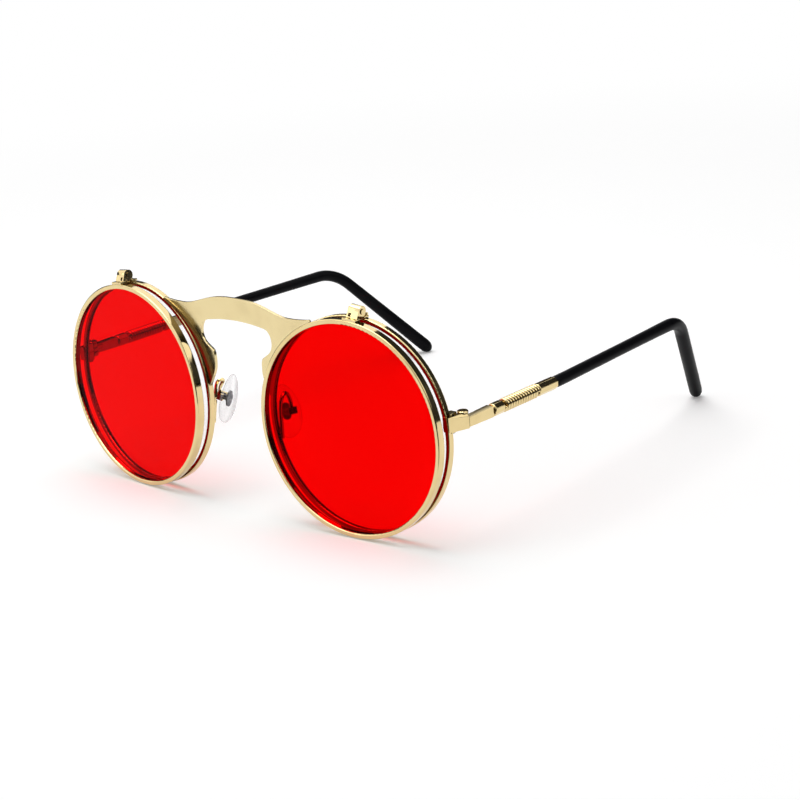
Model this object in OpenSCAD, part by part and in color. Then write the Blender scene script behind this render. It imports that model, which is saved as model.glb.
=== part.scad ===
// Flip up sunglasses: round metal frame, hinged outer lenses, coil spring temples.
// Millimetres. +X is the wearer's left, +Y runs back along the temples, +Z is up.
// The glasses stand open on a table at z = 0, on both rims and both temple tips.
// Every part is drawn for the wearer's left side and mirrored for the right.

/* [Lenses and rims] */
// Radius of the opening in each flip rim
flip_open_r = 24; // [20:0.5:28]
// Width of the flip rim's face, from its opening to its outer edge
flip_rim_w = 1.1; // [0.9:0.1:1.6]
// Depth of the flip rim, front to back
flip_rim_d = 2; // [1.8:0.1:2.4]
// Width of the fixed rim's face
base_rim_w = 1.1; // [0.9:0.1:1.6]
// Depth of the fixed rim, front to back
base_rim_d = 1.65; // [1.5:0.05:2.2]
// Free space between the back of a flip rim and the front of the fixed rim
flip_gap = 1.6; // [1.4:0.1:2.2]
// How much larger the fixed rim's outer radius is than the flip rim's
base_rim_step = 0.1; // [0.1:0.05:0.6]
// Thickness of the tinted flip lens
flip_lens_t = 1.2; // [1:0.1:1.4]
// Thickness of the clear fixed lens
base_lens_t = 1; // [0.8:0.1:1.1]
// Rounding of the rims' edges
rim_round = 0.25; // [0.1:0.05:0.4]

/* [Front] */
// Distance between the two fixed rims across the nose
bridge_w = 21; // [19:0.5:26]
// Angle by which each lens swings back at its outer edge
wrap = 4.2; // [0:0.2:8]
// Angle by which the front leans back from upright when the glasses stand on a table
lean = 1.5; // [0.5:0.1:3]
// Thickness of the bridge plate
plate_t = 0.8; // [0.6:0.1:1]
// Height of the bridge plate's crest above the lens centres
plate_crest = 25.4; // [24:0.1:27]
// Height of the top of the keyhole above the lens centres
keyhole_top = 20.1; // [18:0.1:21]
// Widest half width of the keyhole
keyhole_half = 11.6; // [10:0.1:12]

/* [Flip hinges] */
// Angle of each flip hinge from the top of its lens, outward
flip_off = 5.9; // [0:0.1:12]
// Height of the flip pin above the flip rim's outer edge
flip_pin_rise = 1.8; // [1.7:0.05:2.4]
// Radius of the flip pin
flip_pin_r = 0.4; // [0.3:0.02:0.45]
// Width of the hinge box over its cheeks
flip_box_w = 3; // [2.8:0.1:3.6]
// Thickness of each cheek
cheek_t = 0.5; // [0.4:0.05:0.6]

/* [Temples] */
// Height of the temple hinge above the lens centres
hinge_rise = 3.6; // [2:0.2:8]
// Distance of the temple hinge behind the flip rims' front
hinge_back = 9.9; // [9.7:0.1:12]
// Height of the endpiece
bar_h = 3.4; // [3:0.1:3.8]
// Height of the temple block at the hinge
block_h = 2.2; // [2:0.1:2.6]
// Height of the temple block at its far end
block_end_h = 2.6; // [2.4:0.1:3]
// Width of the temple block
bar_w = 1.8; // [1.7:0.05:2.2]
// How far the temple's centre line lies below the middle of the hinge
temple_low = 0.3; // [0:0.05:0.4]
// Radius of the hinge barrels
barrel_r = 1.2; // [1.1:0.05:1.25]
// Radius of the hinge screw's shank
hinge_screw_r = 0.6; // [0.5:0.05:0.7]
// Length of the temple block
block_len = 8.4; // [7:0.1:11]
// Length of the front collar
collar_len = 3.3; // [2.4:0.1:4]
// Width of the collar and the ferrule across their flats
octagon_w = 2.8; // [2.5:0.1:3]
// Full turns of the temple spring
spring_turns = 13; // [8:1:18]
// Rise of the spring for each turn
spring_pitch = 0.88; // [0.88:0.02:1.2]
// Outer radius of the temple spring
spring_r = 1.6; // [1.5:0.05:1.8]
// Thickness of the spring wire
spring_wire = 0.46; // [0.36:0.01:0.46]
// Length of the ferrule behind the spring
ferrule_len = 6.5; // [4:0.1:9]
// Radius of the core wire
core_r = 0.85; // [0.7:0.05:0.95]
// Length of the black sleeve from the ferrule to its bend
sleeve_run = 49.3; // [36:0.1:60]
// Radius of the bend behind the ear
bend_r = 14; // [10:0.5:20]
// Angle of the drop behind the ear
drop_angle = 45.5; // [38:0.5:60]
// Height and width of the sleeve at the ferrule
sleeve_h = 2.8; // [2.4:0.1:3.6]
// Height of the sleeve's paddle at the tip
paddle_h = 3.8; // [3:0.1:4.6]
// Width of the sleeve behind the ear
paddle_w = 3.5; // [2.8:0.1:4]

/* [Nose pads] */
// Height of a nose pad
pad_h = 12.6; // [10:0.2:14]
// Width of a nose pad
pad_w = 7.4; // [6:0.2:8]
// Thickness of a nose pad
pad_t = 2; // [1.8:0.1:2.4]
// Angle by which the pads open toward the face
pad_splay = 14; // [8:1:25]
// Angle by which the pads lean in at the top
pad_cant = 14; // [4:1:18]
// Thickness of the wire of the pad arms
pad_wire = 0.9; // [0.7:0.05:1]

/* [Fits] */
// Radial clearance of the parts that turn on a pin or screw
run_gap = 0.03; // [0.02:0.005:0.06]
// Clearance around parts that are seated and held
seat_gap = 0.01; // [0.01:0.005:0.02]
// Gap between the faces of the hinge leaves
leaf_gap = 0.06; // [0.05:0.01:0.1]

/* [Hidden] */
$fn = 96;
gold = [0.85, 0.74, 0.48];
pale_gold = [0.89, 0.81, 0.6];
red_lens = [0.9, 0, 0, 0.6];
clear_lens = [0.93, 0.95, 0.96, 0.35];
sleeve_black = [0.09, 0.09, 0.1];
pad_clear = [0.95, 0.95, 0.96, 0.5];
steel = [0.72, 0.72, 0.74];

// rims and lens axes
flip_r = flip_open_r + flip_rim_w;
base_r = flip_r + base_rim_step;
base_open_r = base_r - base_rim_w;
base_y = flip_rim_d + flip_gap;
base_back = base_y + base_rim_d;
lens_x = bridge_w / 2 + base_r;
groove = 0.45;
axis_z = cos(wrap) * sin(lean);
// height that puts the lowest edge of the fixed rims on the table
lens_z = (base_r - rim_round) * sqrt(1 - axis_z * axis_z) + (base_back - rim_round) * axis_z + rim_round;

// temple hinge, in the table's frame, before the shift that centres the whole
hinge_x = lens_x + base_r + 0.1;
hinge_z = lens_z + hinge_rise;
bar_out = 1.8;
bar_x = bar_out - bar_w / 2;
hinge_cut_r = barrel_r + 0.1;
collar_y = block_len + leaf_gap;
spring_y = collar_y + collar_len;
spring_len = spring_turns * spring_pitch + 2 * spring_wire + 0.1;
ferrule_y = spring_y + spring_len;
sleeve_y = ferrule_y + ferrule_len;

// The route of the sleeve is steered by two angles, the pitch down and the yaw inward.
yaw_run = 3.6;
yaw_tip = 26;
yaw_in = 6;
bend_len = bend_r * drop_angle * PI / 180;
cap_len = 2.6;
function ramp(s, from, to) = s <= from ? 0 : s >= to ? 1 : (s - from) / (to - from);
function pitch_at(s) = drop_angle * ramp(s, sleeve_run, sleeve_run + bend_len);
function yaw_at(s) = yaw_run * ramp(s, 0, yaw_in)
    + (yaw_tip - yaw_run) * ramp(s, sleeve_run, sleeve_run + bend_len);
function heading(s) = let (p = pitch_at(s), w = yaw_at(s)) [-sin(w) * cos(p), cos(w) * cos(p), -sin(p)];
function trail(stations, at) = [for (i = 0, p = at; i < len(stations);
    p = i + 1 < len(stations) ? p + (stations[i + 1] - stations[i])
        * heading((stations[i] + stations[i + 1]) / 2) : p, i = i + 1) p];
function stations(drop) = concat([0, 1.5, 3, 4.5, 6],
    [for (i = [1:6]) yaw_in + i * (sleeve_run - yaw_in) / 6],
    [for (i = [1:10]) sleeve_run + i * bend_len / 10],
    [for (i = [1:6]) sleeve_run + bend_len + i * (drop - cap_len) / 6],
    [for (i = [1:6]) sleeve_run + bend_len + drop - cap_len + cap_len * sin(i * 15)]);
// how full the section is near the rounded end of the tip
function cap_scale(s, total) = s <= total - cap_len ? 1
    : sqrt(max(0.004, 1 - pow((s - total + cap_len) / cap_len, 2)));
function sleeve_half_h(s, total) = cap_scale(s, total)
    * (sleeve_h + (paddle_h - sleeve_h) * pow(ramp(s, sleeve_run * 0.6, total), 1.2)) / 2;
function sleeve_half_w(s, total) = cap_scale(s, total)
    * (sleeve_h - 0.05 + (paddle_w - sleeve_h) * ramp(s, sleeve_run * 0.8, sleeve_run + bend_len)) / 2;
function ring(p, dir, half_w, half_h, n) = let (side = cross(dir, [0, 0, 1]) / norm(cross(dir, [0, 0, 1])),
    up = cross(side, dir)) [for (k = [0:n - 1]) p + half_w * cos(k * 360 / n) * side
        + half_h * sin(k * 360 / n) * up];
function sleeve_rings(drop, n) = let (st = stations(drop), total = st[len(st) - 1],
    route = trail(st, [bar_x, sleeve_y, -temple_low]))
    [for (i = [0:len(st) - 1]) ring(route[i], heading(st[i]),
        sleeve_half_w(st[i], total), sleeve_half_h(st[i], total), n)];
// The drop is as long as brings the lowest point of the tip onto the table.
drop_try = 30;
tip_low = hinge_z + min([for (r = sleeve_rings(drop_try, 24)) for (p = r) p[2]]);
sleeve_drop = drop_try + tip_low / sin(drop_angle);
tip_rings = sleeve_rings(sleeve_drop, 24);
tip_back = hinge_back + max([for (r = tip_rings) for (p = r) p[1]]);

// Shift along Y that puts the middle of the whole at y = 0. The foremost point is the inner
// edge of a flip rim, near its foot.
flip_fore = -flip_r * sqrt(1 - pow(cos(wrap) * cos(lean), 2));
mid_y = -(tip_back + flip_fore) / 2;

// Flip hinge, in the lens's own frame: pin_y back from the flip rim's front, pin_z out.
pin_y = flip_rim_d + flip_gap * 0.62;
pin_z = flip_r + flip_pin_rise;
cheek_r = 1.3;
eye_r = 0.8;
box_half = flip_box_w / 2;
eye_half = box_half - cheek_t - leaf_gap;

// Nose pad, in the front's frame
pad_at = [9.8, 7.5, -1.3];
pad_axis_out = 1.9;
cup_w = 2.2;
pad_screw_r = 0.36;
tongue_half = 0.35;

// Places

module on_side(side) {
    if (side > 0) children();
    else mirror([1, 0, 0]) children();
}

// the leaning front: origin midway between the lens centres, in the flip rims' front plane
module front_frame() {
    translate([0, mid_y, lens_z]) rotate([-lean, 0, 0]) children();
}

// one lens: origin on its axis, y along the axis to the back
module lens_frame() {
    front_frame() translate([lens_x, 0, 0]) rotate([0, 0, wrap]) children();
}

// the flip hinge: origin on the pin, x along the pin, z away from the lens centre
module flip_frame() {
    lens_frame() rotate([0, flip_off, 0]) translate([0, pin_y, pin_z]) children();
}

// the temple hinge: origin on the screw's axis at the middle of the bar's height
module hinge_frame() {
    translate([hinge_x, mid_y + hinge_back, hinge_z]) children();
}

module pad_frame() {
    front_frame() translate(pad_at) rotate([0, 0, -pad_splay]) rotate([0, -pad_cant, 0]) children();
}

// Shared shapes

module along_y() {
    rotate([-90, 0, 0]) children();
}

module along_x(from, to) {
    translate([from, 0, 0]) rotate([0, 90, 0]) linear_extrude(to - from) children();
}

module rounded_box_2d(x0, y0, x1, y1, r) {
    translate([x0 + r, y0]) square([x1 - x0 - 2 * r, y1 - y0]);
    translate([x0, y0 + r]) square([x1 - x0, y1 - y0 - 2 * r]);
    for (x = [x0 + r, x1 - r], y = [y0 + r, y1 - r]) translate([x, y]) circle(r, $fn = 32);
}

// everything on the far side of a plane through a point
module beyond(point, normal, size = 30) {
    n = normal / norm(normal);
    translate(point) rotate([0, acos(n[2]), atan2(n[1], n[0])])
        translate([-size / 2, -size / 2, 0]) cube(size);
}

// a closed skin over a list of rings with equal counts of points
module skin(rings) {
    n = len(rings[0]);
    last = len(rings) - 1;
    points = [for (r = rings) for (p = r) p];
    sides = [for (i = [0:last - 1]) for (k = [0:n - 1])
        let (a = i * n + k, b = i * n + (k + 1) % n)
        for (f = [[a, b, a + n], [b, b + n, a + n]]) f];
    polyhedron(points, concat(sides, [[for (k = [0:n - 1]) n - 1 - k]],
        [[for (k = [0:n - 1]) last * n + k]]));
}

// a skin with a blind hole from its first ring, as deep as the last of the inner rings
module sleeve_skin(outer, inner) {
    n = len(outer[0]);
    a_last = len(outer) - 1;
    b_last = len(inner) - 1;
    off = len(outer) * n;
    points = concat([for (r = outer) for (p = r) p], [for (r = inner) for (p = r) p]);
    walls = [for (i = [0:a_last - 1]) for (k = [0:n - 1])
        let (a = i * n + k, b = i * n + (k + 1) % n)
        for (f = [[a, b, a + n], [b, b + n, a + n]]) f];
    bore = [for (i = [0:b_last - 1]) for (k = [0:n - 1])
        let (a = off + i * n + k, b = off + i * n + (k + 1) % n)
        for (f = [[a, a + n, b], [b, a + n, b + n]]) f];
    mouth = [for (k = [0:n - 1]) let (b = (k + 1) % n)
        for (f = [[k, off + k, b], [b, off + k, off + b]]) f];
    polyhedron(points, concat(walls, bore, mouth,
        [[for (k = [0:n - 1]) a_last * n + k]], [[for (k = [0:n - 1]) off + b_last * n + n - 1 - k]]));
}

// Rims and lenses

module rim(open_r, outer_r, depth) {
    along_y() rotate_extrude($fn = 180) difference() {
        rounded_box_2d(open_r, 0, outer_r, depth, rim_round);
        polygon([[open_r - 1, depth / 2 - groove - 1], [open_r + groove, depth / 2],
            [open_r - 1, depth / 2 + groove + 1]]);
    }
}

module lens(open_r, depth, thick) {
    edge = open_r - seat_gap;
    along_y() rotate_extrude($fn = 180) polygon([[0, (depth - thick) / 2], [edge - 0.1, (depth - thick) / 2],
        [edge, (depth - thick) / 2 + 0.1], [edge, depth / 2 - groove * 0.9],
        [edge + groove * 0.9, depth / 2], [edge, depth / 2 + groove * 0.9],
        [edge, (depth + thick) / 2 - 0.1], [edge - 0.1, (depth + thick) / 2], [0, (depth + thick) / 2]]);
}

// the fixed rim's envelope with its opening, for the parts that are soldered to it
module rim_room(gap = 0) {
    translate([0, base_y - gap, 0]) along_y() cylinder(r = base_r + gap, h = base_rim_d + 2 * gap, $fn = 180);
}

// all that lies in front of and behind the opening of the fixed rim
module view_room() {
    translate([0, -20, 0]) along_y() cylinder(r = base_open_r, h = 60, $fn = 180);
}

rim_slit = 0.16;

module base_rim() {
    color(gold) lens_frame() difference() {
        translate([0, base_y, 0]) rim(base_open_r, base_r, base_rim_d);
        // the saw cut that lets the lens in, closed by the block and its screw
        translate([base_open_r - 1, base_y - 1, hinge_rise - rim_slit / 2])
            cube([base_rim_w + 2, base_rim_d + 2, rim_slit]);
    }
}

module base_lens() {
    color(clear_lens) lens_frame() translate([0, base_y, 0]) lens(base_open_r, base_rim_d, base_lens_t);
}

module flip_rim() {
    color(gold) lens_frame() rim(flip_open_r, flip_r, flip_rim_d);
}

module flip_lens() {
    color(red_lens) lens_frame() lens(flip_open_r, flip_rim_d, flip_lens_t);
}

// Bridge plate: one flat stamping with a keyhole over the nose

plate_y = 2.35;
plate_dip_x = 17.5;
plate_dip = 22.6;
plate_tip = [23.9, 23.05];
nose_corner = [8.2, 12.1];
strip_in = [7.8, 9.9];
strip_end = [10.6, 2.6];
function crest_line(x) = x < plate_dip_x
    ? plate_crest - (plate_crest - plate_dip) * (1 - cos(180 * pow(x / plate_dip_x, 1.4))) / 2
    : plate_dip + (plate_tip[1] - plate_dip) * pow((x - plate_dip_x) / (plate_tip[0] - plate_dip_x), 2);
function curve3(a, b, c, d, t) = pow(1 - t, 3) * a + 3 * t * pow(1 - t, 2) * b
    + 3 * t * t * (1 - t) * c + t * t * t * d;

keyhole_side = [keyhole_half - 2.5, keyhole_top - 3.9];
plate_half = concat([for (i = [0:20]) let (x = plate_tip[0] * i / 20) [x, crest_line(x)]],
    [[plate_tip[0] + 0.3, plate_tip[1] - 0.5], [lens_x - 8, 14], [lens_x - 20, 0], strip_end],
    [for (t = [0.125:0.125:1]) curve3(strip_end, [8.9, 6], [7.6, 6.8], strip_in, t)],
    [for (t = [0.25:0.25:1]) curve3(strip_in, [7.8, 11], [7.9, 11.5], nose_corner, t)],
    [for (a = [-65:10:85]) keyhole_side + [2.5 * cos(a), 3.1 * sin(a)]],
    [for (t = [0.75, 0.5, 0.25, 0]) [keyhole_side[0] * t, keyhole_top - 0.8 * t * t]]);

module plate_2d() {
    polygon(concat(plate_half, [for (i = [len(plate_half) - 2:-1:1]) [-plate_half[i][0], plate_half[i][1]]]));
}

module bridge_plate() {
    color(pale_gold) difference() {
        front_frame() translate([0, plate_y + plate_t, 0]) rotate([90, 0, 0]) linear_extrude(plate_t)
            plate_2d();
        for (side = [-1, 1]) on_side(side) lens_frame() {
            rim_room(seat_gap);
            // clears the lens side in front of the rim as well
            translate([0, -5, 0]) along_y() cylinder(r = base_r + seat_gap, h = 15, $fn = 180);
        }
    }
}

// Endpiece, closing block and the screws of the temple hinge

front_corner = 4.8;
bevel_h = 0.65;
bevel_w = 0.9;
barrel_half = 0.5;

// everything above a bevel on the endpiece's upper outer edge, deepest at the hinge and
// running out to nothing at the front corner
module bevel_cut() {
    near = [bar_out, 0, bar_h / 2 - bevel_h];
    across = [-bevel_w, 0, bevel_h];
    along = [0.1, 0.9 - front_corner, bar_h / 2] - near;
    beyond(near, cross(across, along));
}

module endpiece_plan() {
    polygon([[-1.7, -front_corner], [-0.1, -front_corner], [0.1, 0.3 - front_corner],
        [bar_out, -leaf_gap / 2], [-0.7, -leaf_gap / 2], [-0.7, -1.4], [-0.3, -2.1], [-1.7, -3]]);
}

module endpiece() {
    color(gold) difference() {
        hinge_frame() difference() {
            union() {
                translate([0, 0, -bar_h / 2]) linear_extrude(bar_h) endpiece_plan();
                translate([0, 0, -bar_h / 2]) cylinder(r = barrel_r, h = bar_h, $fn = 48);
            }
            // room for the temple's middle barrel
            translate([0, 0, -barrel_half - leaf_gap]) cylinder(r = hinge_cut_r,
                h = 2 * (barrel_half + leaf_gap), $fn = 96);
            translate([0, 0, -bar_h]) cylinder(r = hinge_screw_r + seat_gap, h = 2 * bar_h, $fn = 96);
            bevel_cut();
        }
        lens_frame() {
            rim_room();
            view_room();
        }
    }
}

block_half_h = 2.1;
rim_screw_r = 0.3;
rim_screw_at = [-1.3, -2.15, 0];
slot_w = 0.16;

// one half of the block that the rim's screw pulls together; lower is 0 or 1
module closing_block(lower) {
    color(gold) difference() {
        hinge_frame() difference() {
            mirror([0, 0, lower]) translate([0, 0, rim_slit / 2]) linear_extrude(block_half_h)
                rounded_box_2d(-2.2, -front_corner + 1.2, -0.35, -1.4, 0.3);
            translate(rim_screw_at - [0, 0, block_half_h + 1]) cylinder(r = rim_screw_r + seat_gap,
                h = 2 * block_half_h + 0.7, $fn = 48);
        }
        hinge_frame() translate([0, 0, -bar_h / 2]) linear_extrude(bar_h) endpiece_plan();
        lens_frame() {
            rim_room();
            view_room();
        }
    }
}

module rim_screw() {
    head = 0.4;
    color(steel) hinge_frame() translate(rim_screw_at - [0, 0, rim_slit / 2 + block_half_h + head]) {
        difference() {
            cylinder(r = rim_screw_r + 0.25, h = head, $fn = 48);
            translate([-1, -slot_w / 2, -0.2]) cube([2, slot_w, 0.35]);
        }
        translate([0, 0, head]) cylinder(r = rim_screw_r, h = 2 * block_half_h - 0.4, $fn = 48);
    }
}

screw_head_r = 1.25;
screw_head_h = 0.42;
head_edge = 0.15;

module hinge_screw() {
    color(gold) hinge_frame() difference() {
        union() {
            translate([0, 0, -bar_h / 2 - 0.2]) cylinder(r = hinge_screw_r, h = bar_h + 0.3, $fn = 96);
            translate([0, 0, bar_h / 2]) cylinder(r = screw_head_r, h = screw_head_h - head_edge, $fn = 96);
            translate([0, 0, bar_h / 2 + screw_head_h - head_edge]) cylinder(r1 = screw_head_r,
                r2 = screw_head_r - head_edge, h = head_edge, $fn = 96);
        }
        rotate([0, 0, 35]) translate([-2, -0.15, bar_h / 2 + 0.2]) cube([4, 0.3, 1]);
    }
}

// Temples

// side outline of the temple block, a little taller at its far end
module block_side() {
    near = block_h / 2;
    far = block_end_h / 2;
    polygon([[leaf_gap / 2, -temple_low - near], [block_len - 0.4, -temple_low - far],
        [block_len, -temple_low - far + 0.4], [block_len, -temple_low + far - 0.4],
        [block_len - 0.4, -temple_low + far], [leaf_gap / 2, -temple_low + near]]);
}

module temple_block() {
    color(gold) hinge_frame() difference() {
        union() {
            rotate([90, 0, 90]) translate([0, 0, bar_out - bar_w]) linear_extrude(bar_w) block_side();
            translate([0, 0, -barrel_half]) cylinder(r = barrel_r, h = 2 * barrel_half, $fn = 96);
            translate([-0.1, 0, -barrel_half]) cube([bar_x, 3, 2 * barrel_half]);
        }
        // room for the endpiece's two lugs
        for (z = [barrel_half, -barrel_half - bar_h]) translate([0, 0, z])
            cylinder(r = hinge_cut_r, h = bar_h, $fn = 96);
        translate([0, 0, -bar_h]) cylinder(r = hinge_screw_r + run_gap, h = 2 * bar_h, $fn = 96);
        translate([bar_x, block_len - 3, -temple_low]) along_y()
            cylinder(r = core_r + seat_gap, h = 4, $fn = 96);
    }
}

// an eight-sided bar round the temple's centre line with the core's hole in it
module octagon_bar(y0, len, lead) {
    r = octagon_w / 2 / cos(22.5);
    translate([bar_x, y0, -temple_low]) along_y() difference() {
        union() {
            translate([0, 0, lead]) rotate(22.5) cylinder(r = r, h = len - 2 * lead, $fn = 8);
            rotate(22.5) cylinder(r1 = r - lead, r2 = r, h = lead, $fn = 8);
            translate([0, 0, len - lead]) rotate(22.5) cylinder(r1 = r, r2 = r - lead, h = lead, $fn = 8);
        }
        translate([0, 0, -1]) cylinder(r = core_r + seat_gap, h = len + 2, $fn = 96);
    }
}

module spring_collar() {
    color(gold) hinge_frame() octagon_bar(collar_y, collar_len, 0.2);
}

module ferrule() {
    color(gold) hinge_frame() octagon_bar(ferrule_y, ferrule_len, 0.2);
}

core_tip_r = 0.65;

module temple_core() {
    st = stations(sleeve_drop);
    route = trail(st, [bar_x, sleeve_y, -temple_low]);
    last = len(st) - 10;
    color(gold) hinge_frame() {
        translate([bar_x, block_len - 2.9, -temple_low]) along_y()
            cylinder(r = core_r, h = sleeve_y - block_len + 2.9 - 1, $fn = 96);
        skin(concat([ring([bar_x, sleeve_y - 2, -temple_low], [0, 1, 0], core_tip_r, core_tip_r, 8)],
            [for (i = [0:last]) ring(route[i], heading(st[i]), core_tip_r, core_tip_r, 8)]));
    }
}

module temple_tip() {
    st = stations(sleeve_drop);
    route = trail(st, [bar_x, sleeve_y, -temple_low]);
    last = len(st) - 10;
    bore_r = core_tip_r + 0.05;
    color(sleeve_black) hinge_frame() sleeve_skin(sleeve_rings(sleeve_drop, 16),
        concat([for (i = [0:last]) ring(route[i], heading(st[i]), bore_r, bore_r, 16)],
            [ring(route[last] + 0.3 * heading(st[last]), heading(st[last]), bore_r, bore_r, 16)]));
}

// Temple spring: one unbroken wire of spring_turns turns whose ends turn in and stand square on
// the collar and the ferrule
wire_r = spring_wire / 2;
coil_r = spring_r - wire_r;
rings_per_turn = 8;
function coil_point(t) = let (a = t * 360) [coil_r * cos(a), spring_pitch * t, coil_r * sin(a)];
function coil_dir(t) = let (a = t * 360, k = 2 * PI * coil_r)
    [-k * sin(a), spring_pitch, k * cos(a)] / norm([k, spring_pitch, 0]);
coil_first = [for (y = [0, spring_wire]) [coil_r, y, 0]];
coil_from = [0, spring_wire + 0.35, 0];
coil_len = spring_len - 2 * coil_from[1];
coil_turns = coil_len / spring_pitch;
coil_steps = ceil(coil_turns * rings_per_turn);
coil_route = [for (i = [0:coil_steps]) coil_from + coil_point(i * coil_turns / coil_steps)];
last_angle = coil_turns * 360;
coil_last = [for (y = [spring_len - spring_wire, spring_len])
    [coil_r * cos(last_angle), y, coil_r * sin(last_angle)]];

function wire_ring(p, dir, inward) = let (n = cross(dir, inward), m = n / norm(n), q = cross(m, dir))
    [for (k = [0:5]) p + wire_r * (cos(k * 60) * m + sin(k * 60) * q)];
function out_of(p) = [p[0], 0, p[2]] / coil_r;

module temple_spring() {
    start = wire_ring(coil_first[0], [0, 1, 0], out_of(coil_first[0]));
    finish = wire_ring(coil_last[1], [0, 1, 0], out_of(coil_last[1]));
    color(gold) hinge_frame() translate([bar_x, spring_y, -temple_low]) skin(concat(
        [start, wire_ring(coil_first[1], [0, 1, 0], out_of(coil_first[1]))],
        [for (i = [0:coil_steps]) let (t = i * coil_turns / coil_steps,
            d = i == 0 || i == coil_steps ? coil_dir(t) + [0, 0.9, 0] : coil_dir(t))
            wire_ring(coil_route[i], d / norm(d), out_of(coil_route[i] - coil_from))],
        [wire_ring(coil_last[0], [0, 1, 0], out_of(coil_last[0])), finish]));
}

// Least gap between turns of the spring, measured on points of its route
fine = [for (i = [0:8 * coil_steps]) coil_point(i * coil_turns / (8 * coil_steps))];
skip = 32;
spring_gap = min([for (i = [0:len(fine) - 1]) for (j = [i + skip:1:min(i + 96, len(fine) - 1)])
    norm(fine[i] - fine[j])]) - spring_wire;
echo(spring_gap = spring_gap);

// Nose pads

// a point of the pad's own frame in the front's frame
function pad_point(p) = let (x = p[0] * cos(pad_cant) - p[2] * sin(pad_cant),
    z = p[2] * cos(pad_cant) + p[0] * sin(pad_cant), y = p[1])
    pad_at + [x * cos(pad_splay) + y * sin(pad_splay), y * cos(pad_splay) - x * sin(pad_splay), z];
function arm_route() = let (a = arm_foot, b = [11.2, 4.3, -1.2], c = arm_top,
    d = pad_point([pad_axis_out + 0.95, 0, 0.2]), e = pad_point([pad_axis_out + 0.95, 0, 1.6]))
    concat([a, (a + b) / 2 + [0.05, 0, 0]],
        [for (t = [0:0.125:1]) curve3(b, b + [-0.3, 0.2, 2.4], c + [0.6, -1.4, 0], c, t)],
        [for (t = [0.125:0.125:1]) curve3(c, c + [-0.6, 1.4, 0], e + [0, 0, 1], e, t)], [d]);
arm_foot = [11.75, 3.75, -6.5];
arm_top = [10.9, 6.3, 3.5];

function wire_loop(p, dir) = let (n = cross(dir, [1, 0.2, 0]), m = n / norm(n), q = cross(m, dir))
    [for (k = [0:7]) p + pad_wire / 2 * (cos(k * 45) * m + sin(k * 45) * q)];

// the bent wire soldered to the rim, with the fork that the pad's tongue stands in
module pad_arm() {
    route = arm_route();
    last = len(route) - 1;
    slot = tongue_half + leaf_gap;
    color(gold) difference() {
        union() {
            front_frame() skin([for (i = [0:last]) let (d = i == 0 ? route[1] - route[0]
                : i == last ? route[last] - route[last - 1] : route[i + 1] - route[i - 1])
                wire_loop(route[i], d / norm(d))]);
            pad_frame() translate([pad_axis_out - 0.6, -cup_w / 2, -0.8]) cube([1.9, cup_w, 1.6]);
        }
        pad_frame() translate([pad_axis_out, 0, 0]) {
            translate([-1.5, -slot, -2]) cube([1.5 + 0.78, 2 * slot, 4]);
            translate([0, -3, 0]) along_y() cylinder(r = pad_screw_r + seat_gap, h = 6, $fn = 48);
        }
        lens_frame() rim_room();
    }
}

module pad_screw() {
    color(steel) pad_frame() translate([pad_axis_out, -cup_w / 2 - 0.3, 0]) along_y() difference() {
        union() {
            cylinder(r = pad_screw_r + 0.26, h = 0.3, $fn = 32);
            cylinder(r = pad_screw_r, h = cup_w + 0.45, $fn = 32);
        }
        translate([-1, -slot_w / 2, -0.1]) cube([2, slot_w, 0.25]);
    }
}

// tongue and plate of metal, moulded into the pad
module pad_insert() {
    color(steel) pad_frame() difference() {
        union() {
            translate([pad_axis_out, 0, 0]) translate([0, -tongue_half, 0]) along_y()
                cylinder(r = 0.66, h = 2 * tongue_half, $fn = 32);
            translate([0, -tongue_half, -0.6]) cube([pad_axis_out, 2 * tongue_half, 1.2]);
            insert_plate(0);
        }
        translate([pad_axis_out, -3, 0]) along_y() cylinder(r = pad_screw_r + run_gap, h = 6, $fn = 32);
    }
}

// the plate inside the pad, or with a gap the pocket that it lies in
module insert_plate(gap) {
    translate([-0.2 - gap, 0, 0]) rotate([0, 90, 0]) linear_extrude(0.4 + 2 * gap) {
        circle(1.3 + gap, $fn = 48);
        for (z = [-1, 1]) translate([z, 0]) circle(1 + gap, $fn = 48);
        translate([-1, -1 - gap]) square([2, 2 + 2 * gap]);
    }
}

// the soft pad: an egg-shaped disc, domed toward the nose, with a pocket for the insert
function pad_ring(u) = let (full = sqrt(max(0.02, 1 - pow(abs(u), 2.6))),
    x = -pad_t / 2 * u * (u > 0 ? 1.0 : 0.8))
    [for (k = [0:27]) let (a = -k * 360 / 28, widen = 1 - 0.16 * sin(a))
        [x + 0.25 * pow(cos(a), 2) * full, pad_w / 2 * full * widen * cos(a), pad_h / 2 * full * sin(a)]];

module nose_pad() {
    color(pad_clear) pad_frame() difference() {
        skin([for (i = [-8:8]) pad_ring(-sin(i * 90 / 8))]);
        insert_plate(seat_gap);
        translate([0, -tongue_half - seat_gap, -0.6 - seat_gap])
            cube([3, 2 * (tongue_half + seat_gap), 1.2 + 2 * seat_gap]);
    }
}

// Flip hinges

// the eye ends here along the pin, and the spring takes the rest of the box
eye_split = 0.1;
// how far the leg reaches down in front of the fixed rim, and the foot on that rim
leg_drop = 0.6;
foot_t = 0.45;
foot_z = base_r - pin_z;

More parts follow.
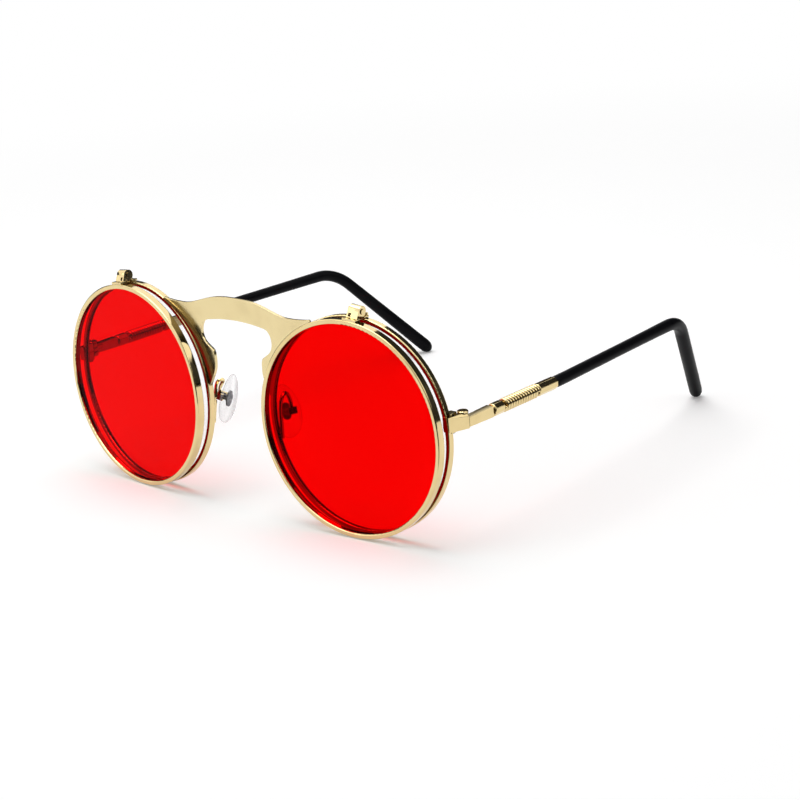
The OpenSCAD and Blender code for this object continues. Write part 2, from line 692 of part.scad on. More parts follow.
module flip_bracket() {
    foot_y = base_y - pin_y;
    color(gold) flip_frame() {
        difference() {
            union() {
                along_x(-eye_half, eye_split) circle(eye_r, $fn = 40);
                // leg, down into the gap in front of the fixed rim
                translate([-eye_half, -0.3, -flip_pin_rise - leg_drop])
                    cube([eye_half + eye_split, foot_y + 0.3, flip_pin_rise + leg_drop]);
                // foot on the fixed rim, joined to the leg
                translate([-box_half - 0.1, foot_y, foot_z]) cube([flip_box_w + 0.2, base_rim_d, foot_t]);
                translate([-eye_half, -0.3, foot_z]) cube([eye_half + eye_split, foot_y + 0.6, foot_t + 0.6]);
            }
            along_x(-3, 3) circle(flip_pin_r + seat_gap, $fn = 40);
            // the eye is round above the leg
            translate([-3, 0.72, -1.15]) cube([6, 3, 3]);
        }
        // small stop that stands up at the back of the foot
        translate([0.3, foot_y + base_rim_d - 0.45, foot_z]) cube([1.1, 0.45, 1]);
    }
}

pin_head_t = 0.18;
pin_head_r = 0.62;

module flip_pin() {
    color(gold) flip_frame() {
        along_x(-box_half - leaf_gap, box_half + leaf_gap) circle(flip_pin_r, $fn = 40);
        for (m = [0, 1]) mirror([m, 0, 0]) along_x(box_half + leaf_gap, box_half + leaf_gap + pin_head_t)
            circle(pin_head_r, $fn = 40);
    }
}

// torsion spring on the pin beside the eye, one leg forward in the box, one back on the foot
module flip_spring() {
    coil = 0.74;
    leg_r = 0.13;
    color(steel) flip_frame() {
        along_x(eye_split + 0.05, eye_half) difference() {
            circle(coil, $fn = 40);
            circle(flip_pin_r + 0.05, $fn = 40);
        }
        translate([0.35, 0, leg_r - coil]) rotate([90, 0, 0]) cylinder(r = leg_r, h = 0.98, $fn = 16);
        translate([0.7, 0, leg_r - coil]) rotate([-112, 0, 0]) cylinder(r = leg_r, h = 1.45, $fn = 16);
    }
}

// side outline of the knuckle, round over the pin and running down to the rim; x is down
wall_t = 0.5;
knuckle_top = [-0.9, -0.95];
knuckle_foot = [flip_pin_rise + 0.3, -2.3];
module knuckle_side() {
    circle(cheek_r, $fn = 48);
    polygon([knuckle_top, knuckle_foot, knuckle_foot + [0, 1], [0.9, -0.95], [0, 0]]);
}

// the room behind the knuckle's front wall, for the eye and the spring
module knuckle_room() {
    run = knuckle_foot - knuckle_top;
    inward = [-run[1], run[0]] / norm(run) * wall_t;
    circle(eye_r + 0.1, $fn = 48);
    polygon([knuckle_top + inward, knuckle_foot + inward, [knuckle_foot[0], 3], [0, 3], [0, 0]]);
    translate([-3, 0.25]) square([6, 3]);
}

module flip_knuckle() {
    room_half = eye_half + leaf_gap;
    color(gold) difference() {
        flip_frame() difference() {
            union() {
                // foot on the rim
                translate([-1.85, 0.1 - pin_y, -flip_pin_rise - 0.7]) cube([3.7, flip_rim_d - 0.1, 1.25]);
                difference() {
                    along_x(-box_half, box_half) knuckle_side();
                    along_x(-room_half, room_half) knuckle_room();
                }
            }
            along_x(-3, 3) circle(flip_pin_r + run_gap, $fn = 40);
            // window in the front wall, and the slot of the rim's screw in the foot
            translate([-1.05, -3, -1.1]) cube([0.7, 2.2, 0.75]);
            translate([-1.3, -3.2, -1.38]) cube([1.1, 1.3, slot_w]);
        }
        lens_frame() translate([0, -5, 0]) along_y() cylinder(r = flip_r, h = 5 + flip_rim_d + 1, $fn = 180);
    }
}

on_side(1) base_rim();  // base_rim_left
on_side(-1) base_rim();  // base_rim_right
on_side(1) base_lens();  // base_lens_left
on_side(-1) base_lens();  // base_lens_right
bridge_plate();
on_side(1) endpiece();  // endpiece_left
on_side(-1) endpiece();  // endpiece_right
on_side(1) closing_block(0);  // closing_block_upper_left
on_side(-1) closing_block(0);  // closing_block_upper_right
on_side(1) closing_block(1);  // closing_block_lower_left
on_side(-1) closing_block(1);  // closing_block_lower_right
on_side(1) rim_screw();  // rim_screw_left
on_side(-1) rim_screw();  // rim_screw_right
on_side(1) hinge_screw();  // hinge_screw_left
on_side(-1) hinge_screw();  // hinge_screw_right
on_side(1) pad_arm();  // pad_arm_left
on_side(-1) pad_arm();  // pad_arm_right
on_side(1) pad_screw();  // pad_screw_left
on_side(-1) pad_screw();  // pad_screw_right
on_side(1) nose_pad();  // nose_pad_left
on_side(-1) nose_pad();  // nose_pad_right
on_side(1) pad_insert();  // pad_insert_left
on_side(-1) pad_insert();  // pad_insert_right
on_side(1) flip_bracket();  // flip_bracket_left
on_side(-1) flip_bracket();  // flip_bracket_right
on_side(1) flip_pin();  // flip_pin_left
on_side(-1) flip_pin();  // flip_pin_right
on_side(1) flip_spring();  // flip_spring_left
on_side(-1) flip_spring();  // flip_spring_right
on_side(1) flip_rim();  // flip_rim_left
on_side(-1) flip_rim();  // flip_rim_right
on_side(1) flip_lens();  // flip_lens_left
on_side(-1) flip_lens();  // flip_lens_right
on_side(1) flip_knuckle();  // flip_knuckle_left
on_side(-1) flip_knuckle();  // flip_knuckle_right
on_side(1) temple_block();  // temple_block_left
on_side(-1) temple_block();  // temple_block_right
on_side(1) spring_collar();  // spring_collar_left
on_side(-1) spring_collar();  // spring_collar_right
on_side(1) temple_core();  // temple_core_left
on_side(-1) temple_core();  // temple_core_right
on_side(1) temple_spring();  // temple_spring_left
on_side(-1) temple_spring();  // temple_spring_right
on_side(1) ferrule();  // ferrule_left
on_side(-1) ferrule();  // ferrule_right
on_side(1) temple_tip();  // temple_tip_left
on_side(-1) temple_tip();  // temple_tip_right
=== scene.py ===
"""Flip up sunglasses: finishes, detailed pieces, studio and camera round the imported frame.

Units are metres. +X is the wearer's left, +Y runs back along the temples, +Z is up, and the
glasses stand open on the table at z = 0.
"""
import logging
import math
from dataclasses import dataclass, field
from enum import Enum
from typing import Any, Iterable, Optional, Union

import bmesh
import bpy
from mathutils import Matrix, Vector


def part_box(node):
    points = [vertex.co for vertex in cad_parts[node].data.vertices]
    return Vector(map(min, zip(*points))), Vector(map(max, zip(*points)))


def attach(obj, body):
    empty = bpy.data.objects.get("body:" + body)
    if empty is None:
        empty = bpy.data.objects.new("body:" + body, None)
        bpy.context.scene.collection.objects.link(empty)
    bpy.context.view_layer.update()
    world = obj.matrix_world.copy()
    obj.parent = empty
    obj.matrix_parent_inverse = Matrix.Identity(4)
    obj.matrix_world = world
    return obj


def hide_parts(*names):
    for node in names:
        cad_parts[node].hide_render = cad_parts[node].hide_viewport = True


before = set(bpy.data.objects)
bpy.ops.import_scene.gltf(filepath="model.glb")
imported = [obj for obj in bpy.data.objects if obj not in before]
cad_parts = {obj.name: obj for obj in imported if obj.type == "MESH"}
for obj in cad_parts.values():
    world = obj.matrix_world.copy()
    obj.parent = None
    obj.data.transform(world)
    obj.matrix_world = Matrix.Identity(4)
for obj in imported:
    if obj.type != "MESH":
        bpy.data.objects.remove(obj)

LOG = logging.getLogger("sunglasses")
MM = 0.001
WHITE = (1.0, 1.0, 1.0)

# Limits for joining up and bevelling copies of the CAD nodes' meshes.
WELD = 0.002 * MM
CRISP_WELD = 0.02 * MM
TINY = 0.0003 * MM
FLAT = math.radians(1)
SHARP = math.radians(33)
SHORTEST_BEVEL = 0.1 * MM
PLATE_EDGE = 0.1 * MM
JOIN_FACES = math.radians(25)
JOIN_CORNERS = math.radians(40)

# Turn to turn in a close-wound spring, as a multiple of the wire's thickness.
SPRING_PITCH = 1.02

# Height of the fine relief in the finishes.
RELIEF = 0.02 * MM

# Steps that tell a ray's first and second bounce of a kind.
ONCE = (0.4, 0.6)
TWICE = (1.4, 1.6)

# Painted shade: how much darker the room is made in a second mirror image, and in metal seen
# through a lens.
SECOND_IMAGE_DIM = 0.7
LENS_DIM = 0.5

Colour = tuple[float, float, float]
Point = tuple[float, float, float]


class Side(Enum):
    """The wearer's two sides."""

    LEFT = "left"
    RIGHT = "right"

    def node(self, piece: str) -> str:
        """The name of this side's node of a piece."""
        return f"{piece}_{self.value}"


class Slot(Enum):
    """The names of the record's material slots for the new pieces."""

    GOLD = "gold_metal"
    BRIGHT_GOLD = "bright_gold"
    PAD = "pad_silicone"
    SLEEVE = "sleeve"


class Flow:
    """A number or colour that comes out of a node, with arithmetic written as operators."""

    def __init__(self, graph: "ShaderGraph", socket: bpy.types.NodeSocket) -> None:
        """Wraps an output socket.

        Args:
            graph: the graph that the socket belongs to.
            socket: the output socket.
        """
        self.graph = graph
        self.socket = socket

    def _maths(self, operation: str, first: Any, second: Any) -> "Flow":
        """Adds a Math node.

        Args:
            operation: the node's operation.
            first: its first value.
            second: its second value.

        Returns:
            The node's result.
        """
        return self.graph.node("ShaderNodeMath", {"operation": operation}, {0: first, 1: second})

    def __add__(self, other: Any) -> "Flow":
        """self + other."""
        return self._maths("ADD", self, other)

    def __radd__(self, other: Any) -> "Flow":
        """other + self."""
        return self._maths("ADD", other, self)

    def __sub__(self, other: Any) -> "Flow":
        """self - other."""
        return self._maths("SUBTRACT", self, other)

    def __rsub__(self, other: Any) -> "Flow":
        """other - self."""
        return self._maths("SUBTRACT", other, self)

    def __mul__(self, other: Any) -> "Flow":
        """self * other."""
        return self._maths("MULTIPLY", self, other)

    def larger(self, other: Any) -> "Flow":
        """The larger of self and other."""
        return self._maths("MAXIMUM", self, other)

    def eased(self, start: float, end: float) -> "Flow":
        """0 below start, 1 above end, with a soft step between them."""
        return self.graph.node("ShaderNodeMapRange", {"interpolation_type": "SMOOTHSTEP"},
                               {"Value": self, 1: start, 2: end, 3: 0.0, 4: 1.0})


class ShaderGraph:
    """Builds the nodes of one material or of the world."""

    def __init__(self, owner: Union[bpy.types.Material, bpy.types.World]) -> None:
        """Starts with no nodes at all.

        Args:
            owner: what the nodes belong to.
        """
        owner.use_nodes = True
        self.tree = owner.node_tree
        self.tree.nodes.clear()

    def node(self, kind: str, settings: Optional[dict[str, Any]] = None,
             inputs: Optional[dict[Any, Any]] = None, output: Union[int, str] = 0) -> Flow:
        """Adds one node, its settings first.

        Args:
            kind: the node's type.
            settings: attributes of the node, or "stops" of a ramp as (place, colour) pairs.
            inputs: values, or flows to link, by socket name or number.
            output: the socket that the flow starts from.

        Returns:
            The flow out of that socket.
        """
        made = self.tree.nodes.new(kind)
        for key, value in (settings or {}).items():
            if key == "stops":
                self._stops(made.color_ramp, value)
            else:
                setattr(made, key, value)
        for key, value in (inputs or {}).items():
            if isinstance(value, Flow):
                self.tree.links.new(value.socket, made.inputs[key])
            else:
                made.inputs[key].default_value = value
        return Flow(self, made.outputs[output]) if len(made.outputs) else None

    @staticmethod
    def _stops(ramp: bpy.types.ColorRamp, stops: Iterable[tuple[float, Colour]]) -> None:
        """Sets a ramp's stops.

        Args:
            ramp: the ramp, which has two stops to begin with.
            stops: place and colour of each stop, in order.
        """
        stops = list(stops)
        while len(ramp.elements) < len(stops):
            ramp.elements.new(1.0)
        for element, (place, colour) in zip(ramp.elements, stops):
            element.position = place
            element.color = (*colour, 1.0)

    def ray(self, output: str) -> Flow:
        """What is known of the ray that asks for the shading, by its Light Path socket."""
        return self.node("ShaderNodeLightPath", output=output)

    def toward(self, vector: Flow, direction: Point) -> Flow:
        """How far a vector reaches in a direction."""
        return self.node("ShaderNodeVectorMath", {"operation": "DOT_PRODUCT"},
                         {0: vector, 1: direction}, output="Value")

    def mix(self, factor: Any, first: Flow, second: Flow) -> Flow:
        """A mix of two shaders, 0 for the first and 1 for the second."""
        return self.node("ShaderNodeMixShader", None, {0: factor, 1: first, 2: second})

    def place(self) -> Flow:
        """Where the shaded point is, in the row frame."""
        return self.node("ShaderNodeTexCoord", output="Object")

    def noise(self, scale: float, detail: float = 3.0, stretch: Point = (1.0, 1.0, 1.0)) -> Flow:
        """A noise pattern that stays on the piece.

        Args:
            scale: features per metre.
            detail: octaves of finer noise.
            stretch: how much faster it changes along each axis.

        Returns:
            A number near 0.5 that varies.
        """
        at = self.node("ShaderNodeMapping", None, {"Vector": self.place(), "Scale": stretch})
        return self.node("ShaderNodeTexNoise", None,
                         {"Vector": at, "Scale": scale, "Detail": detail})

    def blend(self, factor: Any, first: Any, second: Any) -> Flow:
        """A mix of two colours.

        Args:
            factor: 0 for the first and 1 for the second.
            first: a colour or a flow.
            second: a colour or a flow.

        Returns:
            The mixed colour.
        """
        wide = [c if isinstance(c, Flow) else (*c, 1.0) for c in (first, second)]
        return self.node("ShaderNodeMix", {"data_type": "RGBA"},
                         {0: factor, 6: wide[0], 7: wide[1]}, output=2)

    def bump(self, height: Flow, strength: float) -> Flow:
        """A normal bent by a pattern of heights, with a strength from 0 to 1."""
        return self.node("ShaderNodeBump", None,
                         {"Strength": strength, "Distance": RELIEF, "Height": height})

    def finish(self, surface: Flow) -> None:
        """Links the shader to the material's output."""
        self.node("ShaderNodeOutputMaterial", None, {"Surface": surface})


class Finish:
    """A material that is made once, from its own values."""

    name: str

    def shade(self, graph: ShaderGraph) -> Flow:
        """Adds the nodes and returns the shader."""
        raise NotImplementedError

    def material(self) -> bpy.types.Material:
        """The material, made on first use."""
        found = bpy.data.materials.get(self.name)
        if found is None:
            found = bpy.data.materials.new(self.name)
            graph = ShaderGraph(found)
            graph.finish(self.shade(graph))
        return found


@dataclass(frozen=True)
class PlatedMetal(Finish):
    """Polished plating with fine rub marks and a faint, slightly darker film in random patches.

    Attributes:
        name: the material's name.
        colour: the metal's colour.
        film: the colour where the surface is a little dull.
        rough: roughness where it is bright.
        rub: how much rougher the rubbed places are.
        grain: direction in which the rub marks run, as stretch of their pattern.
        ripple: how strongly the surface waves.
    """

    name: str
    colour: Colour
    film: Colour
    rough: float = 0.045
    rub: float = 0.07
    grain: Point = (1.0, 1.0, 1.0)
    ripple: float = 0.1

    def shade(self, graph: ShaderGraph) -> Flow:
        """Adds the nodes and returns the shader."""
        cloud = graph.noise(140.0, 3.0).eased(0.42, 0.72)
        marks = graph.noise(2600.0, 2.0, self.grain)
        worn = cloud * 0.6 + marks * 0.4
        waves = graph.noise(900.0, 1.0)
        return graph.node("ShaderNodeBsdfPrincipled", None, {
            "Base Color": graph.blend(cloud * 0.5, self.colour, self.film),
            "Metallic": 1.0,
            "Roughness": worn * self.rub + self.rough,
            "Normal": graph.bump(waves + marks * 0.2, self.ripple),
        })


@dataclass(frozen=True)
class PaneFinish(Finish):
    """A clear or tinted pane that lets lamps through in its own tint.

    Attributes:
        name: the material's name.
        tint: what one pass through the pane lets through.
        gloss: tint of what its faces mirror.
        bend: index of refraction.
        smear: how much roughness faint smears add.
    """

    name: str
    tint: Colour
    gloss: Colour
    bend: float = 1.5
    smear: float = 0.02

    def shade(self, graph: ShaderGraph) -> Flow:
        """Adds the nodes and returns the shader."""
        smears = graph.noise(90.0, 4.0, (1.0, 1.0, 2.4)).eased(0.5, 0.8)
        pane = graph.node("ShaderNodeBsdfPrincipled", None, {
            "Base Color": (*self.tint, 1.0),
            "Roughness": smears * self.smear,
            "IOR": self.bend,
            "Specular Tint": (*self.gloss, 1.0),
            "Transmission Weight": 1.0,
        })
        open_way = graph.node("ShaderNodeBsdfTransparent", None, {"Color": (*self.tint, 1.0)})
        return graph.mix(graph.ray("Is Shadow Ray"), pane, open_way)


@dataclass(frozen=True)
class SiliconeFinish(Finish):
    """Soft clear silicone, which shows mostly where it is seen edge on.

    Attributes:
        name: the material's name.
        colour: its colour.
        dull: its colour where the skin is a little cloudy.
        clear: how much of it shows where it faces the eye.
        edge: how much more shows edge on.
    """

    name: str
    colour: Colour
    dull: Colour
    clear: float = 0.03
    edge: float = 0.85

    def shade(self, graph: ShaderGraph) -> Flow:
        """Adds the nodes and returns the shader."""
        skin = graph.noise(1500.0, 2.0)
        cloud = graph.noise(400.0, 2.0).eased(0.45, 0.7)
        facing = graph.node("ShaderNodeLayerWeight", None, {"Blend": 0.5}, output="Facing")
        return graph.node("ShaderNodeBsdfPrincipled", None, {
            "Base Color": graph.blend(cloud, self.colour, self.dull),
            "Roughness": 0.06 + skin * 0.06,
            "IOR": 1.4,
            "Alpha": facing.eased(0.42, 0.95) * self.edge + cloud * self.clear + self.clear,
            "Normal": graph.bump(skin, 0.15),
        })


@dataclass(frozen=True)
class SleeveFinish(Finish):
    """Black moulded sleeve, half gloss, with a very fine skin.

    Attributes:
        name: the material's name.
        colour: its colour.
        worn: its colour where it is rubbed.
    """

    name: str
    colour: Colour
    worn: Colour

    def shade(self, graph: ShaderGraph) -> Flow:
        """Adds the nodes and returns the shader."""
        rub = graph.noise(120.0, 4.0).eased(0.45, 0.8)
        skin = graph.noise(2200.0, 2.0)
        return graph.node("ShaderNodeBsdfPrincipled", None, {
            "Base Color": graph.blend(rub, self.colour, self.worn),
            "Roughness": 0.3 + rub * 0.12 + skin * 0.05,
            "Specular IOR Level": 0.05,
            "Normal": graph.bump(skin, 0.25),
        })


GOLD = PlatedMetal("polished_gold", (0.80, 0.64, 0.33), (0.70, 0.53, 0.25))
PLATE_GOLD = PlatedMetal("flat_gold", (0.80, 0.66, 0.36), (0.74, 0.59, 0.31),
                         rough=0.12, rub=0.12, grain=(0.4, 1.0, 2.5))
STEEL = PlatedMetal("screw_steel", (0.56, 0.55, 0.54), (0.42, 0.41, 0.40), rough=0.2, rub=0.15)
RED_PANE = PaneFinish("red_pane", (0.95, 0.0, 0.0), gloss=(0.8, 0.1, 0.2), bend=1.1)
CLEAR_PANE = PaneFinish("clear_pane", (0.97, 0.98, 0.985), gloss=(0.9, 0.9, 0.9), bend=1.3)
SILICONE = SiliconeFinish("soft_silicone", (0.62, 0.6, 0.62), (0.45, 0.43, 0.45))
INSERT = PlatedMetal("insert_steel", (0.17, 0.17, 0.18), (0.07, 0.07, 0.08),
                     rough=0.25, rub=0.2, ripple=0.3)
SLEEVE = SleeveFinish("black_sleeve", (0.003, 0.003, 0.004), (0.006, 0.006, 0.007))


def dress(node: str, finish: Finish) -> None:
    """Gives a CAD node its material, in its object's own slots.

    Args:
        node: the node's name.
        finish: what it is made of.
    """
    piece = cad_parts[node]
    if not piece.material_slots:
        piece.data.materials.append(None)
    for holder in piece.material_slots:
        holder.link = "OBJECT"
        holder.material = finish.material()
    LOG.info("dressed %s in %s", node, finish.name)


def add_piece(shape: bmesh.types.BMesh, name: str, finish: Finish, body: str,
              nodes: Iterable[str] = ()) -> bpy.types.Object:
    """Turns a finished shape into a piece of the object.

    Args:
        shape: the shape, in the row frame; it is freed.
        name: the piece's name.
        finish: what it is made of.
        body: the body that it rides on.
        nodes: the CAD nodes that it stands for.

    Returns:
        The new object.
    """
    mesh = bpy.data.meshes.new(name)
    for face in shape.faces:
        face.smooth = True
    shape.to_mesh(mesh)
    shape.free()
    mesh.materials.append(finish.material())
    piece = bpy.data.objects.new(name, mesh)
    bpy.context.scene.collection.objects.link(piece)
    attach(piece, body)
    if nodes:
        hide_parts(*nodes)
    LOG.info("built %s with %d faces", name, len(mesh.polygons))
    return piece


def merged_copy(node: str) -> bmesh.types.BMesh:
    """A copy of a CAD node's mesh with its triangles joined up into one closed shape.

    Args:
        node: the node's name.

    Returns:
        The copy, in the row frame.
    """
    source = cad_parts[node]
    shape = bmesh.new()
    shape.from_mesh(source.data)
    bmesh.ops.transform(shape, matrix=source.matrix_world, verts=shape.verts)
    bmesh.ops.remove_doubles(shape, verts=shape.verts, dist=WELD)
    return shape


def crisp_piece(node: str, finish: Finish, body: str, width: float) -> None:
    """Builds a copy of a CAD node with its long sharp edges broken by a fine bevel.

    Args:
        node: the node's name.
        finish: what it is made of.
        body: the body that it rides on.
        width: the bevel's width.
    """
    shape = merged_copy(node)
    bmesh.ops.remove_doubles(shape, verts=shape.verts, dist=CRISP_WELD)
    bmesh.ops.dissolve_limit(shape, angle_limit=FLAT, verts=shape.verts, edges=shape.edges)
    long_edges = [e for e in shape.edges if e.is_manifold and e.calc_face_angle() > SHARP
                  and e.calc_length() > SHORTEST_BEVEL]
    bmesh.ops.bevel(shape, geom=long_edges, offset=width, affect="EDGES", segments=2, profile=0.5,
                    material=-1, loop_slide=True)
    bmesh.ops.dissolve_degenerate(shape, dist=TINY, edges=shape.edges[:])
    for edge in shape.edges:
        edge.smooth = not edge.is_manifold or edge.calc_face_angle() < SHARP
    piece = add_piece(shape, f"crisp_{node}", finish, body, [node])
    weighted = piece.modifiers.new("flats", "WEIGHTED_NORMAL")
    weighted.keep_sharp = True


def smooth_piece(node: str, name: str, finish: Finish, body: str,
                 levels: int) -> bpy.types.Object:
    """Builds a rounder copy of a CAD node with a Subdivision Surface.

    Args:
        node: the node's name.
        name: the new piece's name.
        finish: what it is made of.
        body: the body that it rides on.
        levels: the Subdivision Surface's levels, in view and in render.

    Returns:
        The new object.
    """
    shape = merged_copy(node)
    bmesh.ops.join_triangles(shape, faces=shape.faces, angle_face_threshold=JOIN_FACES,
                             angle_shape_threshold=JOIN_CORNERS)
    piece = add_piece(shape, name, finish, body, [node])
    smooth = piece.modifiers.new("smooth", "SUBSURF")
    smooth.levels = levels
    smooth.render_levels = levels
    return piece


@dataclass
class TempleParts:
    """One temple: block, collar, close-wound spring, ferrule and black sleeve.

    Attributes:
        side: which temple it is.
        wire_across: half thickness of the spring wire, out from the core.
        wire_along: half thickness of the spring wire along the temple.
        turn_steps: steps in each turn of the spring.
        wire_points: points round the spring wire.
        edge: width of the bevel on the metal's edges.
        sleeve_levels: levels of the sleeve's Subdivision Surface.
        crisp: the metal pieces that get that bevel.
    """

    side: Side
    wire_across: float = 0.43 * MM
    wire_along: float = 0.43 * MM
    turn_steps: int = 36
    wire_points: int = 12
    edge: float = 0.1 * MM
    sleeve_levels: int = 2
    crisp: tuple[str, ...] = ("temple_block", "spring_collar", "ferrule")

    @property
    def body(self) -> str:
        """The body that the temple's pieces ride on."""
        return self.side.node("temple")

    def make(self) -> None:
        """Dresses the metal and builds the spring and the sleeve."""
        for piece in self.crisp:
            crisp_piece(self.side.node(piece), GOLD, self.body, self.edge)
        dress(self.side.node("temple_core"), GOLD)
        self.wind_spring()
        smooth_piece(self.side.node("temple_tip"), self.side.node("ear_sleeve"), SLEEVE,
                     self.body, self.sleeve_levels)

    def wind_spring(self) -> None:
        """Winds the spring close, turn on turn, in the space of the CAD spring."""
        node = self.side.node("temple_spring")
        low, high = (Vector(corner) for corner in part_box(node))
        middle = (low + high) / 2
        outer = (high.z - low.z) / 2
        reach = outer - self.wire_across
        length = high.y - low.y - 2 * self.wire_along
        turns = round(length / (2 * SPRING_PITCH * self.wire_along))
        steps = turns * self.turn_steps
        shape = bmesh.new()
        bmesh.ops.create_circle(shape, cap_ends=True, radius=1.0, segments=self.wire_points)
        bmesh.ops.scale(shape, vec=(self.wire_across, self.wire_along, 1.0), verts=shape.verts)
        start = (middle.x + reach, low.y + self.wire_along, middle.z)
        bmesh.ops.translate(shape, vec=start, verts=shape.verts)
        wound = bmesh.ops.spin(shape, geom=shape.edges[:], cent=middle, axis=(0.0, 1.0, 0.0),
                               dvec=(0.0, length / steps, 0.0), angle=turns * math.tau,
                               steps=steps)
        last = [e for e in wound["geom_last"] if isinstance(e, bmesh.types.BMEdge)]
        bmesh.ops.contextual_create(shape, geom=last)
        bmesh.ops.recalc_face_normals(shape, faces=shape.faces)
        add_piece(shape, self.side.node("wound_spring"), GOLD, self.body, [node])


@dataclass
class FrontParts:
    """The fixed front of one side: rim, clear lens, endpiece, hinge box, pad arm and screws.

    Attributes:
        side: which side it is.
        edge: width of the bevel on the endpiece.
        fine_edge: width of the bevel on the hinge box.
        metal: the pieces in gold that keep the CAD's mesh.
        steel: the pieces in steel.
    """

    side: Side
    edge: float = 0.1 * MM
    fine_edge: float = 0.05 * MM
    metal: tuple[str, ...] = ("base_rim", "closing_block_upper", "closing_block_lower",
                              "hinge_screw", "pad_arm", "flip_pin")
    steel: tuple[str, ...] = ("rim_screw", "pad_screw", "flip_spring")

    def make(self) -> None:
        """Dresses the pieces and builds the endpiece and the hinge box."""
        for piece in self.metal:
            dress(self.side.node(piece), GOLD)
        for piece in self.steel:
            dress(self.side.node(piece), STEEL)
        crisp_piece(self.side.node("endpiece"), GOLD, "front", self.edge)
        crisp_piece(self.side.node("flip_bracket"), GOLD, "front", self.fine_edge)
        dress(self.side.node("base_lens"), CLEAR_PANE)


@dataclass
class FlipParts:
    """One outer lens that hinges up: rim, red lens and knuckle.

    Attributes:
        side: which side it is.
        edge: width of the bevel on the knuckle.
    """

    side: Side
    edge: float = 0.06 * MM

    def make(self) -> None:
        """Dresses the rim and the lens and builds the knuckle."""
        dress(self.side.node("flip_rim"), GOLD)
        body = self.side.node("flip_front")
        crisp_piece(self.side.node("flip_knuckle"), GOLD, body, self.edge)
        dress(self.side.node("flip_lens"), RED_PANE)


@dataclass
class PadParts:
    """One nose pad with the plate moulded into it.

    Attributes:
        side: which side it is.
        levels: levels of the pad's Subdivision Surface.
    """

    side: Side
    levels: int = 1

    def make(self) -> None:
        """Dresses the plate and rounds the pad."""
        dress(self.side.node("pad_insert"), INSERT)
        node = self.side.node("nose_pad")
        piece = smooth_piece(node, self.side.node("soft_pad"), SILICONE, node,
                             self.levels)


def dimmed(graph: ShaderGraph) -> Flow:
    """Painted shade: how much darker the room is made in a second mirror image, or in metal seen
    through a lens.

    Args:
        graph: the graph of the room or the table.

    Returns:
        0 for the full light and up to 1 for none.
    """
    mirrored = graph.ray("Glossy Depth")
    through = graph.ray("Transmission Depth").eased(*ONCE)
    # Painted shade in creases, where a reflection sees another reflection.
    second_image = mirrored.eased(*TWICE) * SECOND_IMAGE_DIM
    return second_image.larger(mirrored.eased(*ONCE) * through * LENS_DIM)


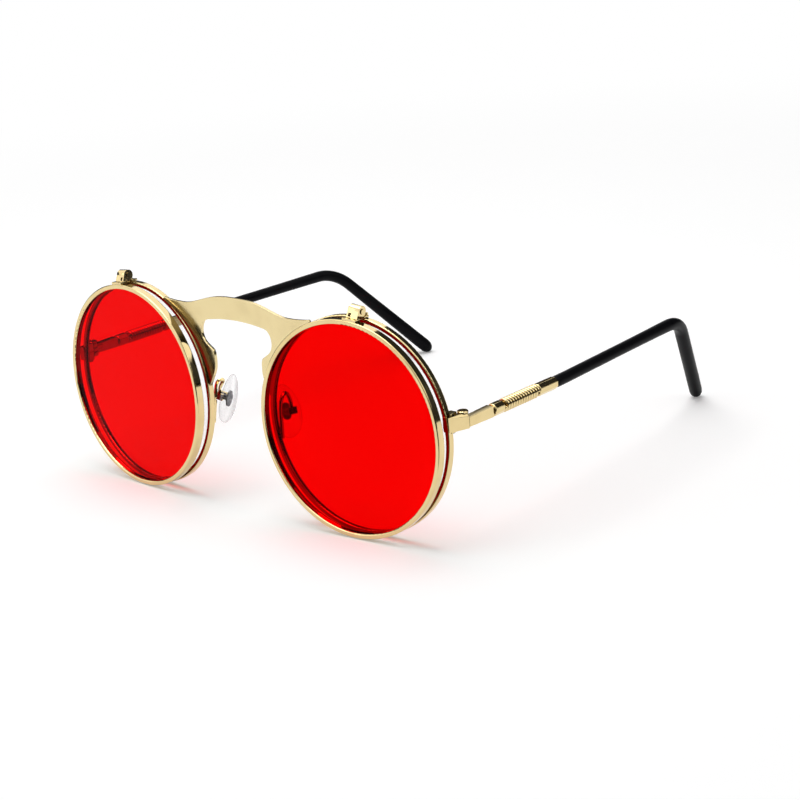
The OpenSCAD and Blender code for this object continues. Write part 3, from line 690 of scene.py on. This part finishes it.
@dataclass
class Studio:
    """White table, soft lamps and the camera at the photo's angle.

    Attributes:
        eye: where the camera stands.
        right: the picture's right.
        up: the picture's up.
        lens: focal length in millimetres on a 36 mm frame.
        table: half the width of the table.
        lamps: place, width and power of each lamp.
        behind_camera: direction of the dark spot behind the camera.
        back_wall: direction of the dark spot on the back wall.
        room_light: brightness of the room.
        mirror_light: how much brighter the room is painted in mirror images than for other rays,
            a painted reflection.
        glow: light that the table adds of its own.
        painted_dark_patch: direction of the patch of the table that is painted dark in mirror
            images only, a painted reflection.
        lens_painted_shade: how dark the table is painted, as painted shade, in metal seen through
            a lens.
    """

    eye: Point = (0.320424, -0.347127, 0.159102)
    right: Point = (0.746179, 0.66077, -0.08124)
    up: Point = (-0.142393, 0.277608, 0.950083)
    lens: float = 87.436
    table: float = 3.0
    lamps: dict[str, tuple[Point, float, float]] = field(default_factory=lambda: {
        "top": ((-0.15, -0.05, 0.95), 0.8, 5.8),
        "front": ((-0.7, -0.9, 0.55), 0.6, 0.7),
        "side": ((0.9, 0.1, 0.5), 0.5, 0.5),
    })
    behind_camera: Point = (0.64, -0.70, 0.32)
    back_wall: Point = (0.06, 0.87, 0.47)
    room_light: float = 0.55
    mirror_light: float = 0.75
    glow: float = 0.2
    painted_dark_patch: Point = (0.72, -0.66, 0.0)
    lens_painted_shade: float = 0.8

    def make(self) -> None:
        """Sets up the camera, the world, the table and the lamps."""
        self.set_camera()
        self.paint_world()
        self.lay_table()
        for name, (place, size, watts) in self.lamps.items():
            self.hang_lamp(name, place, size, watts)
        bpy.context.scene.view_settings.view_transform = "Standard"

    def set_camera(self) -> None:
        """Stands the camera where the photo was taken."""
        data = bpy.data.cameras.new("camera")
        data.lens = self.lens
        data.sensor_width = 36.0
        data.clip_start = 0.01
        data.clip_end = 50.0
        camera = bpy.data.objects.new("camera", data)
        right, up = Vector(self.right), Vector(self.up)
        turn = Matrix((right, up, right.cross(up))).transposed()
        camera.matrix_world = Matrix.Translation(self.eye) @ turn.to_4x4()
        bpy.context.scene.collection.objects.link(camera)
        bpy.context.scene.camera = camera

    @staticmethod
    def hang_lamp(name: str, place: Point, size: float, watts: float) -> None:
        """Hangs a square soft lamp that faces the glasses.

        Args:
            name: the lamp's name.
            place: where it hangs.
            size: its width.
            watts: its power.
        """
        data = bpy.data.lights.new(name, "AREA")
        data.size = size
        data.energy = watts
        lamp = bpy.data.objects.new(name, data)
        lamp.location = place
        lamp.rotation_euler = (-Vector(place)).to_track_quat("-Z", "Y").to_euler()
        bpy.context.scene.collection.objects.link(lamp)

    def paint_world(self) -> None:
        """A dim room with a pale ceiling, which the camera and the lenses see as white."""
        world = bpy.data.worlds.new("room")
        bpy.context.scene.world = world
        graph = ShaderGraph(world)
        way = graph.node("ShaderNodeTexCoord", output="Generated")
        height = graph.toward(way, (0.0, 0.0, 1.0))
        front = graph.toward(way, (0.0, -1.0, 0.0)).eased(0.1, 0.5) * 0.4
        spot = graph.toward(way, self.behind_camera).eased(0.84, 0.9)
        shade = spot.larger(graph.toward(way, self.back_wall).eased(0.88, 0.95))
        room = graph.node("ShaderNodeValToRGB", {"stops": [
            (0.0, (0.02, 0.02, 0.02)), (0.33, (0.04, 0.04, 0.04)), (0.42, WHITE),
            (1.0, (0.85, 0.85, 0.85))]}, {0: height + front - shade})
        direct = 1.0 - graph.ray("Glossy Depth").eased(*ONCE)
        seen = graph.ray("Is Camera Ray").larger(graph.ray("Is Transmission Ray") * direct)
        # Painted reflection: mirror images see the room brighter than the light it sheds on the
        # table.
        scale = graph.ray("Is Glossy Ray") * self.mirror_light + self.room_light
        bright = graph.node("ShaderNodeVectorMath", {"operation": "SCALE"},
                            {0: room, "Scale": scale * (1.0 - dimmed(graph))})
        light = graph.node("ShaderNodeBackground", None,
                           {"Color": graph.blend(seen, bright, WHITE), "Strength": 1.0})
        graph.node("ShaderNodeOutputWorld", None, {"Surface": light})

    def lay_table(self) -> None:
        """Lays the white table top, which keeps the shadow of the glasses; in mirror images it is
        painted dark in places, as painted reflection and painted shade.
        """
        shape = bmesh.new()
        bmesh.ops.create_grid(shape, x_segments=1, y_segments=1, size=self.table)
        mesh = bpy.data.meshes.new("table_top")
        shape.to_mesh(mesh)
        shape.free()
        top = bpy.data.objects.new("table_top", mesh)
        bpy.context.scene.collection.objects.link(top)
        material = bpy.data.materials.new("white_table")
        graph = ShaderGraph(material)
        paper = graph.node("ShaderNodeBsdfDiffuse", None, {"Color": (0.9, 0.9, 0.9, 1.0)})
        glow, backdrop = (graph.node("ShaderNodeEmission", None,
                                     {"Color": (*WHITE, 1.0), "Strength": strength})
                          for strength in (self.glow, 1.0))
        white = graph.node("ShaderNodeAddShader", None, {0: paper, 1: glow})
        dark = graph.node("ShaderNodeBsdfDiffuse", None, {"Color": (0.05, 0.05, 0.05, 1.0)})
        place = graph.place()
        reach = graph.node("ShaderNodeVectorMath", {"operation": "LENGTH"}, {0: place},
                           output="Value")
        painted_dark_patch = graph.toward(place, self.painted_dark_patch).eased(0.105, 0.12)
        fore = graph.toward(place, (0.0, -1.0, 0.0)).eased(0.08, 0.1)
        mirrored = graph.ray("Glossy Depth").eased(*ONCE)
        passed = graph.ray("Is Transmission Ray")
        # Painted dark reflection: in mirror images the table is dark far off and in a patch to
        # the front right, and painted shade darkens it in metal seen through a lens.
        painted_dark = mirrored * reach.eased(0.45, 0.6).larger(painted_dark_patch * fore)
        painted_dark = painted_dark.larger(mirrored * passed * self.lens_painted_shade).larger(dimmed(graph))
        fading = (graph.ray("Is Camera Ray") + passed) * reach.eased(0.12, 0.6)
        graph.finish(graph.mix(painted_dark, graph.mix(fading, white, backdrop), dark))
        mesh.materials.append(material)


def main() -> None:
    """Builds the whole object and its studio, in order."""
    logging.basicConfig(level=logging.INFO, format="%(name)s: %(message)s")
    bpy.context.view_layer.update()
    crisp_piece("bridge_plate", PLATE_GOLD, "front", PLATE_EDGE)
    for side in Side:
        FrontParts(side).make()
        FlipParts(side).make()
        PadParts(side).make()
        TempleParts(side).make()
    Studio().make()
    bpy.context.view_layer.update()


if __name__ == "__main__":
    main()
